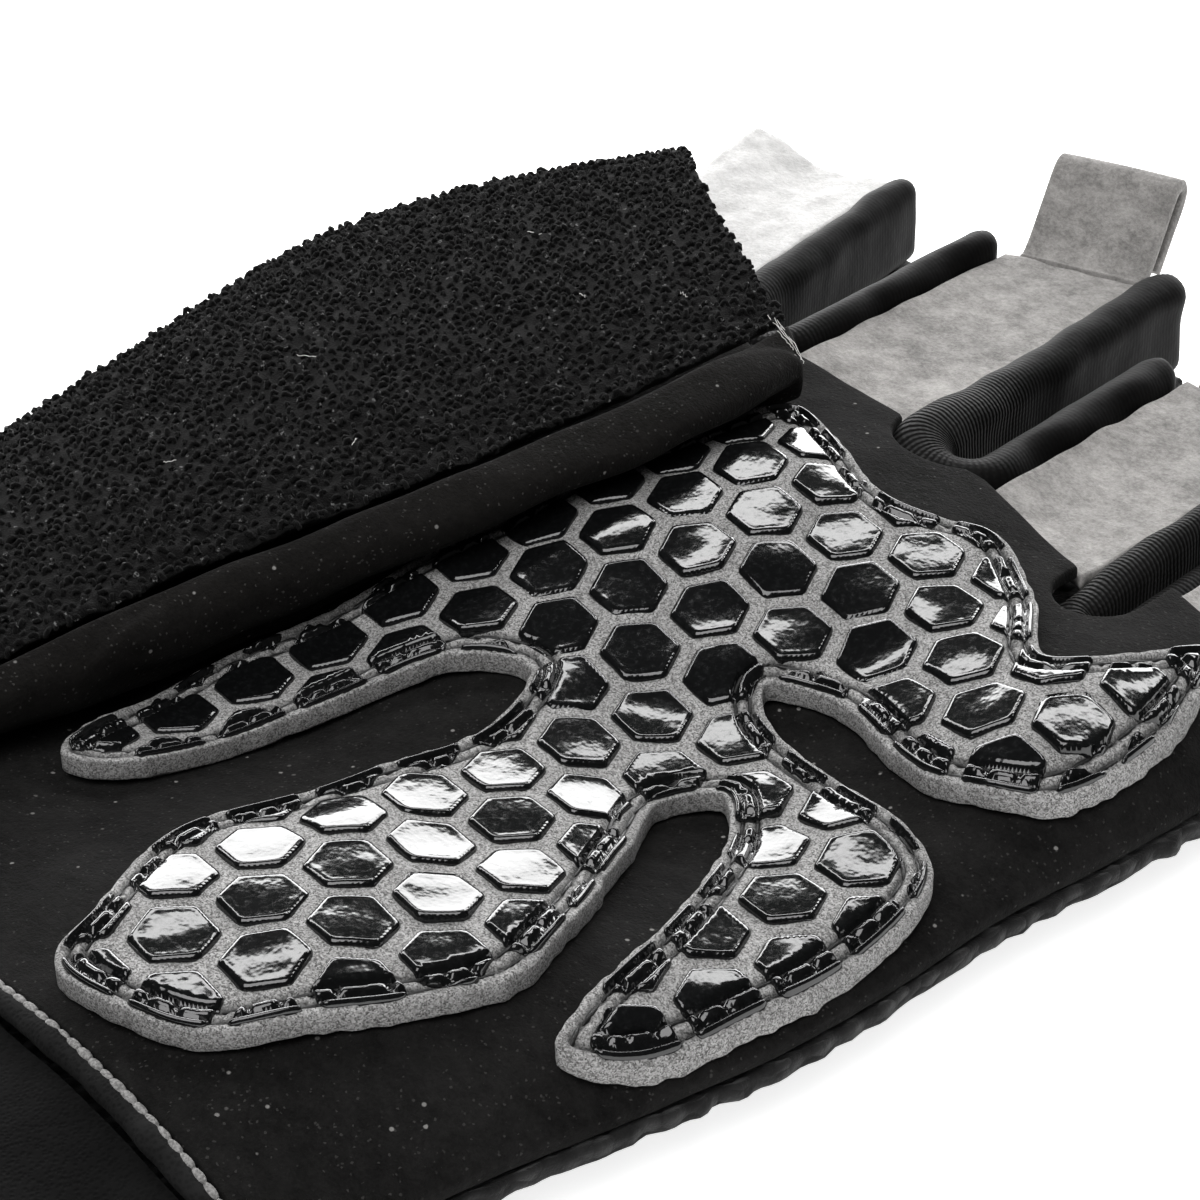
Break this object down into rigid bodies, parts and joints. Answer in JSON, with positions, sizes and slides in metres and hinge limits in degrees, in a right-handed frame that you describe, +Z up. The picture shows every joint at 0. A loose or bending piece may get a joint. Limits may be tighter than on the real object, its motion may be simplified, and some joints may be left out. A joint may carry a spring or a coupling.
{
  "type": "weightlifting glove",
  "caption": "Left-hand fingerless weightlifting glove lying palm up, with a hexagon grip patch, towelling thumb, grey suede fingers, pull tabs and a strap cuff.",
  "frame": {"origin": "middle of the glove's outline on the floor", "axes": "+X from the thumb's side to the little finger's side, +Y from the wrist to the fingertips, +Z up out of the palm"},
  "size_m": [0.1128, 0.1978, 0.023],
  "materials": {
    "black_suede": "warm black microfibre suede",
    "back_knit": "black rough knit",
    "grey_suede": "light grey microfibre suede",
    "grip_gel": "glossy black raised hexagons on grey speckled felt",
    "ribbed_knit": "black finely ribbed stretch knit",
    "towelling": "black looped towelling",
    "cuff_cloth": "plain smooth black neoprene cloth",
    "piping": "black seam with light grey thread"
  },
  "bodies": {
    "root": {"back_panel": "back_knit", "palm_panel": "black_suede", "grip_patch": "grip_gel", "index_panel": "grey_suede", "middle_panel": "grey_suede", "ring_panel": "grey_suede", "little_panel": "grey_suede", "index_middle_fourchette": "ribbed_knit", "middle_ring_fourchette": "ribbed_knit", "ring_little_fourchette": "ribbed_knit", "middle_pull_tab": "grey_suede", "ring_pull_tab": "grey_suede", "thumb_terry": "towelling", "thumb_suede": "black_suede", "wrist_cuff": "cuff_cloth", "wrist_piping": "piping", "wrist_strap": "cuff_cloth"}
  },
  "joints": []
}
